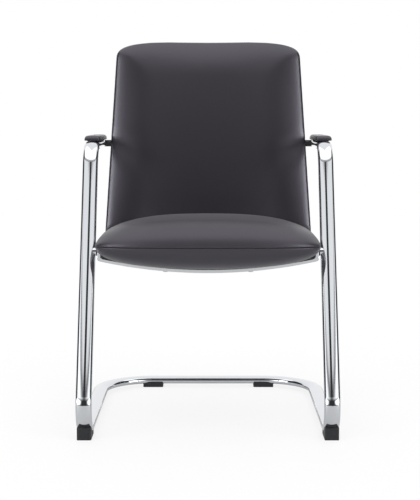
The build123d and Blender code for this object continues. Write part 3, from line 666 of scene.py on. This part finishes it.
def build_back_panel(name, node, way, pad, edge, crown):
    """Front or rear half of the back, padded from the dished face between them."""
    foot = Vector((0, back_foot_y, back_foot_z))
    upward = Vector((0, sin(back_recline), cos(back_recline)))
    outward = Vector((0, cos(back_recline), -sin(back_recline)))
    spacer_low, spacer_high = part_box("back_spacer_left")
    joint = (spacer_low + spacer_high) / 2 - foot
    joint_rise = joint.dot(upward)

    def half_width(rise):
        half = back_half_foot + (back_half_top - back_half_foot) * rise / back_height
        share = min(max(0, 1 - (back_height - rise) / back_corner_height), 1)
        kept = (1 - share ** back_corner_power) ** (1 / back_corner_power)
        return half - back_corner_width * (1 - kept)

    # The outline's sides and top, to measure how far a place lies inside it
    rim = []
    for step in range(back_outline_steps + 1):
        share = step / back_outline_steps
        rise = back_height * (1 - (1 - share) ** back_outline_bias)
        rim += [(half_width(rise), rise, 0), (-half_width(rise), rise, 0)]
        rim.append(((2 * share - 1) * half_width(back_height), back_height, 0))
    outline = KDTree(len(rim))
    for index, spot in enumerate(rim):
        outline.insert(spot, index)
    outline.balance()

    def place(u, v, inset, height):
        rise = inset + (back_height - 2 * inset) * (v + 1) / 2
        x = u * (half_width(rise) - inset)
        dish = back_dish - back_radius + sqrt(back_radius ** 2 - x * x)
        depth = dish + way * (back_gap / 2 + height)
        return tuple(foot + upward * rise + outward * depth + Vector((x, 0, 0)))

    def dimple(inward, rise):
        """Where the arm pulls on the front's edge, a fold that fans out and falls inward."""
        if way > 0 or inward > dimple_reach:
            return 0
        fade = 1 - inward / dimple_reach
        width = dimple_width + dimple_fan * (1 - fade)
        off = rise - joint_rise + dimple_drop * inward
        return dimple_depth * fade ** dimple_fade * exp(-(off / width) ** 2)

    def dome(u, v):
        rise = back_height * (v + 1) / 2
        x = u * half_width(rise)
        inward = outline.find((x, rise, 0))[2]
        full = pad - seam_roll - dimple(inward, rise) + crown * (1 - u * u) * (1 - v * v)
        return full * round_up(inward / edge, back_edge_power) * round_up(rise / back_foot_edge)

    points, faces = panel(place, dome, *back_grid, seam_roll)
    piece = add_piece(name, points, faces, "leather", node)


def build_arm_pads():
    """Flat-topped pads with rounded sides and ends."""
    low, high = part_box("arm_pad_left")
    middle = (low.x + high.x) / 2
    half = (high.x - low.x) / 2
    top = high.z - low.z - pad_roll
    length = high.y - low.y

    def end_share(v):
        run = length * (v + 1) / 2
        return round_up(run / pad_end_round) * round_up((length - run) / pad_end_round)

    def place(u, v, inset, height):
        width = half * (pad_end_width + (1 - pad_end_width) * end_share(v)) - inset
        y = low.y + inset + (length - 2 * inset) * (v + 1) / 2
        return middle + u * width, y, low.z + height

    def dome(u, v):
        return top * sqrt(1 - abs(u) ** pad_side_power) * end_share(v)

    points, faces = panel(place, dome, *pad_grid, pad_roll)
    left = add_piece("armrest_left", points, faces, "leather", "arm_pad_left")
    right = add_piece("armrest_right", mirrored(points), faces, "leather", "arm_pad_right")


# Stage

def math_node(nodes, links, operation, first, second=None):
    """The result of a math node that takes numbers or other nodes' values."""
    made = nodes.new("ShaderNodeMath")
    made.operation = operation
    for slot, value in enumerate((first, second)):
        if isinstance(value, (int, float)):
            made.inputs[slot].default_value = value
        elif value is not None:
            links.new(value, made.inputs[slot])
    return made.outputs["Value"]


def build_floor():
    """White floor that keeps the chair's shadow. In reflections it glows less and is darker."""
    r = floor_reach
    mesh = bpy.data.meshes.new("floor")
    mesh.from_pydata([(-r, -r, 0), (r, -r, 0), (r, r, 0), (-r, r, 0)], [], [(0, 1, 2, 3)])
    floor = bpy.data.objects.new("floor", mesh)
    bpy.context.scene.collection.objects.link(floor)
    made, nodes, links, main = shader("floor", floor_seen, metallic=0, roughness=floor_roughness)
    calc = partial(math_node, nodes, links)
    rays = nodes.new("ShaderNodeLightPath").outputs
    direct = calc("MAXIMUM", rays["Is Camera Ray"], rays["Is Transmission Ray"])
    paint = nodes.new("ShaderNodeMix")
    paint.data_type = "RGBA"
    paint.inputs["A"].default_value = (*floor_paint, 1)
    paint.inputs["B"].default_value = (*floor_seen, 1)
    links.new(direct, paint.inputs["Factor"])
    links.new(paint.outputs["Result"], main.inputs["Base Color"])
    lifted = calc("MULTIPLY", direct, floor_lift)
    shining = calc("MULTIPLY", rays["Is Glossy Ray"], floor_shine)
    glow = nodes.new("ShaderNodeEmission")
    mix = nodes.new("ShaderNodeMixShader")
    links.new(calc("MAXIMUM", lifted, shining), mix.inputs["Fac"])
    links.new(main.outputs["BSDF"], mix.inputs[1])
    links.new(glow.outputs["Emission"], mix.inputs[2])
    links.new(mix.outputs["Shader"], nodes["Material Output"].inputs["Surface"])
    mesh.materials.append(made)


def build_studio():
    """The world as a studio: boxes of light in front, beside and overhead, and a white backdrop."""
    world = bpy.data.worlds.new("studio")
    world.use_nodes = True
    bpy.context.scene.world = world
    nodes = world.node_tree.nodes
    links = world.node_tree.links
    calc = partial(math_node, nodes, links)

    def ramp(value, start, end):
        """From 0 to 1 between two angles."""
        made = nodes.new("ShaderNodeMapRange")
        made.interpolation_type = "SMOOTHSTEP"
        made.inputs["From Min"].default_value = radians(start)
        made.inputs["From Max"].default_value = radians(end)
        links.new(value, made.inputs["Value"])
        return made.outputs["Result"]

    def between(value, low, high, soft_low, soft_high):
        """1 between two angles, with soft edges half inside and half outside them."""
        rise = ramp(value, low - soft_low, low + soft_low)
        return calc("MULTIPLY", rise, ramp(value, high + soft_high, high - soft_high))

    way = nodes.new("ShaderNodeSeparateXYZ")
    links.new(nodes.new("ShaderNodeTexCoord").outputs["Generated"], way.inputs["Vector"])
    sideways = calc("ABSOLUTE", way.outputs["X"])
    turn = calc("ARCTAN2", sideways, calc("MULTIPLY", way.outputs["Y"], -1))
    lift = calc("ARCSINE", way.outputs["Z"])

    def box(size):
        """The light of one box, on both sides of the chair alike."""
        soft_side, soft_low, soft_high = size["soft"]
        inside = between(turn, *size["turn"], soft_side, box_edge)
        inside = calc("MULTIPLY", inside, between(lift, *size["lift"], soft_low, soft_high))
        return calc("MULTIPLY", inside, size["light"])

    overhead = calc("MULTIPLY", ramp(lift, *tent["lift"]), tent["light"])
    behind = calc("MULTIPLY", ramp(turn, *backdrop["turn"]), backdrop["light"])
    light = calc("MAXIMUM", calc("MAXIMUM", overhead, behind), studio_dark)
    for size in (front_box, front_fill, side_box, strip_box):
        light = calc("MAXIMUM", light, box(size))
    rays = nodes.new("ShaderNodeLightPath").outputs
    level = nodes.new("ShaderNodeMix")
    direct = calc("MAXIMUM", rays["Is Camera Ray"], rays["Is Transmission Ray"])
    links.new(direct, level.inputs["Factor"])
    links.new(light, level.inputs["A"])
    level.inputs["B"].default_value = background
    sky = nodes["Background"]
    sky.inputs["Color"].default_value = (1, 1, 1, 1)
    links.new(level.outputs["Result"], sky.inputs["Strength"])


def build_camera():
    """The photo's view. The sensor's width stands for the frame's longer side."""
    lens = bpy.data.cameras.new("camera")
    lens.sensor_width = sensor
    lens.lens = sensor * focal_pixels / image_height
    camera = bpy.data.objects.new("camera", lens)
    camera.location = camera_place
    camera.rotation_euler = (pi / 2 - camera_pitch, 0, 0)
    bpy.context.scene.collection.objects.link(camera)
    bpy.context.scene.camera = camera


dress_cad_nodes()
build_frame_tubes()
build_seat_bar()
build_seat()
build_back_panel(
    "back_front", "back_cushion", -1, back_front_pad, back_front_edge, back_front_crown)
build_back_panel(
    "back_rear", "back_rear_cover", 1, back_rear_pad, back_rear_edge, back_rear_crown)
build_arm_pads()
build_floor()
build_studio()
build_camera()
bpy.context.scene.view_settings.view_transform = "Standard"
